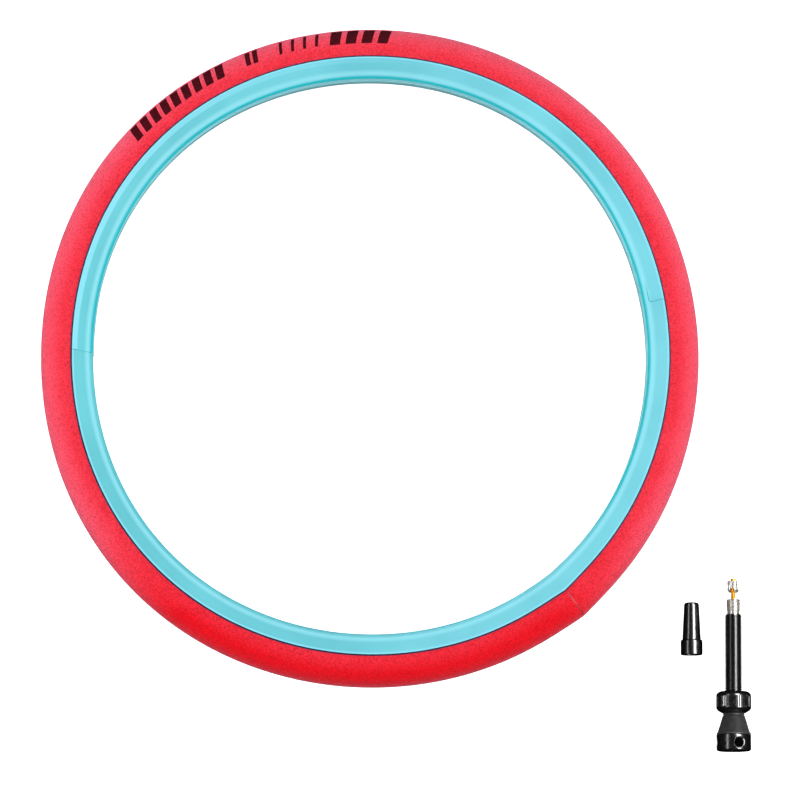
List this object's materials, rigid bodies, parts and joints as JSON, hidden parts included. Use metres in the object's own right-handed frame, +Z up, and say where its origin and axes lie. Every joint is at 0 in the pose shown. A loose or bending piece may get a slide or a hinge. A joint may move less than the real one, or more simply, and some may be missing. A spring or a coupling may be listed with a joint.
{
  "type": "tubeless tyre insert",
  "caption": "Foam tyre insert ring in a clip-on plastic liner, with its tubeless valve (removable core, knurled lock nut) and loose valve cap.",
  "frame": {"origin": "on the floor, under the middle of the whole layout of ring, valve and cap", "axes": "+Z up, along the ring's axis; +Y along the valve, from its foot to its tip; +X across"},
  "size_m": [0.2408, 0.2444, 0.0222],
  "materials": {
    "red_foam": "matte",
    "foam_glue": "matte",
    "cyan_liner": "satin",
    "black_anodised": "gloss",
    "black_rubber": "matte",
    "nickel_plate": "satin",
    "bare_brass": "satin",
    "seal_plastic": "satin",
    "black_plastic": "gloss"
  },
  "bodies": {
    "ring": {"foam_ring": "red_foam", "foam_seam_glue": "foam_glue", "liner_upper": "cyan_liner", "liner_lower": "cyan_liner"},
    "valve": {"valve_stem": "black_anodised", "cone_seal": "black_rubber"},
    "nut_ring": {"nut_o_ring": "black_rubber"},
    "nut": {"lock_nut": "black_anodised"},
    "core_seal": {"core_gasket": "seal_plastic"},
    "core": {"core_body": "nickel_plate"},
    "pin": {"core_pin": "bare_brass", "core_pin_seal": "black_rubber", "core_pin_collar": "bare_brass"},
    "pin_nut": {"core_nut": "nickel_plate"},
    "cap": {"valve_cap": "black_plastic"}
  },
  "joints": [
    {"name": "valve_lift", "type": "slide", "parent": "ring", "child": "valve", "axis": [0, 0, 1], "range_m": [0, 0.06]},
    {"name": "cap_lift", "type": "slide", "parent": "ring", "child": "cap", "axis": [0, 0, 1], "range_m": [0, 0.06]},
    {"name": "nut_travel", "type": "slide", "parent": "valve", "child": "nut_ring", "axis": [0, 1, 0], "range_m": [0, 0.025]},
    {"name": "nut_turn", "type": "hinge", "parent": "nut_ring", "child": "nut", "pos_m": [0.11435, -0.1057, 0.00605], "axis": [0, 1, 0], "range_deg": [-1, 11251]},
    {"name": "core_travel", "type": "slide", "parent": "valve", "child": "core_seal", "axis": [0, 1, 0], "range_m": [0, 0.006]},
    {"name": "core_turn", "type": "hinge", "parent": "core_seal", "child": "core", "pos_m": [0.11435, -0.079, 0.00605], "axis": [0, 1, 0], "range_deg": [-1, 4321]},
    {"name": "pin_press", "type": "slide", "parent": "core", "child": "pin", "axis": [0, 1, 0], "range_m": [-0.001, 0]},
    {"name": "core_nut_travel", "type": "slide", "parent": "pin", "child": "pin_nut", "axis": [0, 1, 0], "range_m": [-0.0013, 0]}
  ],
  "couplings": [
    {"joint": "nut_turn", "follows": "nut_travel", "rad_per_m": 7854},
    {"joint": "core_turn", "follows": "core_travel", "rad_per_m": 12566}
  ]
}
